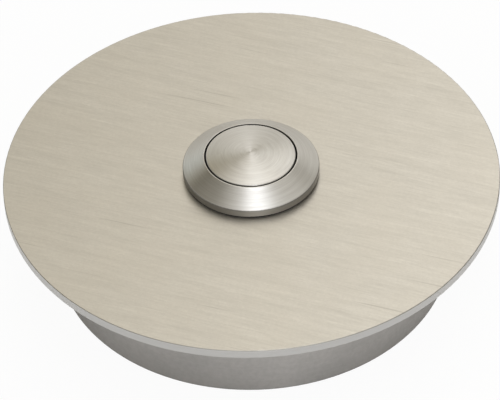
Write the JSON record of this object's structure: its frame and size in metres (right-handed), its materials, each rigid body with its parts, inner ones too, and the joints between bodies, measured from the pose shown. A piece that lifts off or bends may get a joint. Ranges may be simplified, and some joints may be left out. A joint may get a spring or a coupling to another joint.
{
  "type": "doorbell push button",
  "caption": "Round brushed-steel bell push: a flat front plate on a skirt ring, with a bevelled bezel and a crowned metal push button in the middle.",
  "frame": {"origin": "centre of the skirt ring's back face, on the button's axis, in the wall's plane", "axes": "+Z out of the wall along the button's axis, +Y up the wall along the line of the two screw slots, +X to the right, through the grub screws"},
  "size_m": [0.08, 0.08, 0.0214],
  "materials": {
    "plate_steel": "straight-brushed satin steel",
    "skirt_steel": "satin steel",
    "turned_steel": "fine turned steel",
    "zinc_plated": "zinc-plated sheet steel",
    "dark_screw": "blackened steel",
    "spring_steel": "bright drawn wire",
    "seal_rubber": "matt black rubber",
    "black_nylon": "moulded black plastic",
    "white_nylon": "moulded white plastic",
    "contact_brass": "stamped brass",
    "nickel_screw": "nickel-plated screw"
  },
  "bodies": {
    "housing": {"front_plate": "plate_steel", "skirt_ring": "skirt_steel", "wall_plate": "zinc_plated", "grub_screw_right": "dark_screw", "grub_screw_left": "dark_screw", "button_housing": "turned_steel", "bezel_seal": "seal_rubber", "lock_washer": "nickel_screw", "fixing_nut": "nickel_screw", "stem_seal": "seal_rubber", "return_spring": "spring_steel", "contact_carrier": "black_nylon", "fixed_contact_right": "contact_brass", "fixed_contact_left": "contact_brass", "wire_clamp_right": "nickel_screw", "wire_clamp_left": "nickel_screw", "terminal_screw_right": "nickel_screw", "terminal_screw_left": "nickel_screw"},
    "button": {"button_cap": "turned_steel", "retaining_clip": "spring_steel", "contact_pusher": "white_nylon", "contact_bridge": "contact_brass"}
  },
  "joints": [
    {"name": "button_press", "type": "slide", "parent": "housing", "child": "button", "axis": [0, 0, -1], "range_m": [0, 0.0012], "stiffness_N_per_m": 1500, "springref_m": -0.001, "deforming": ["return_spring"]}
  ]
}
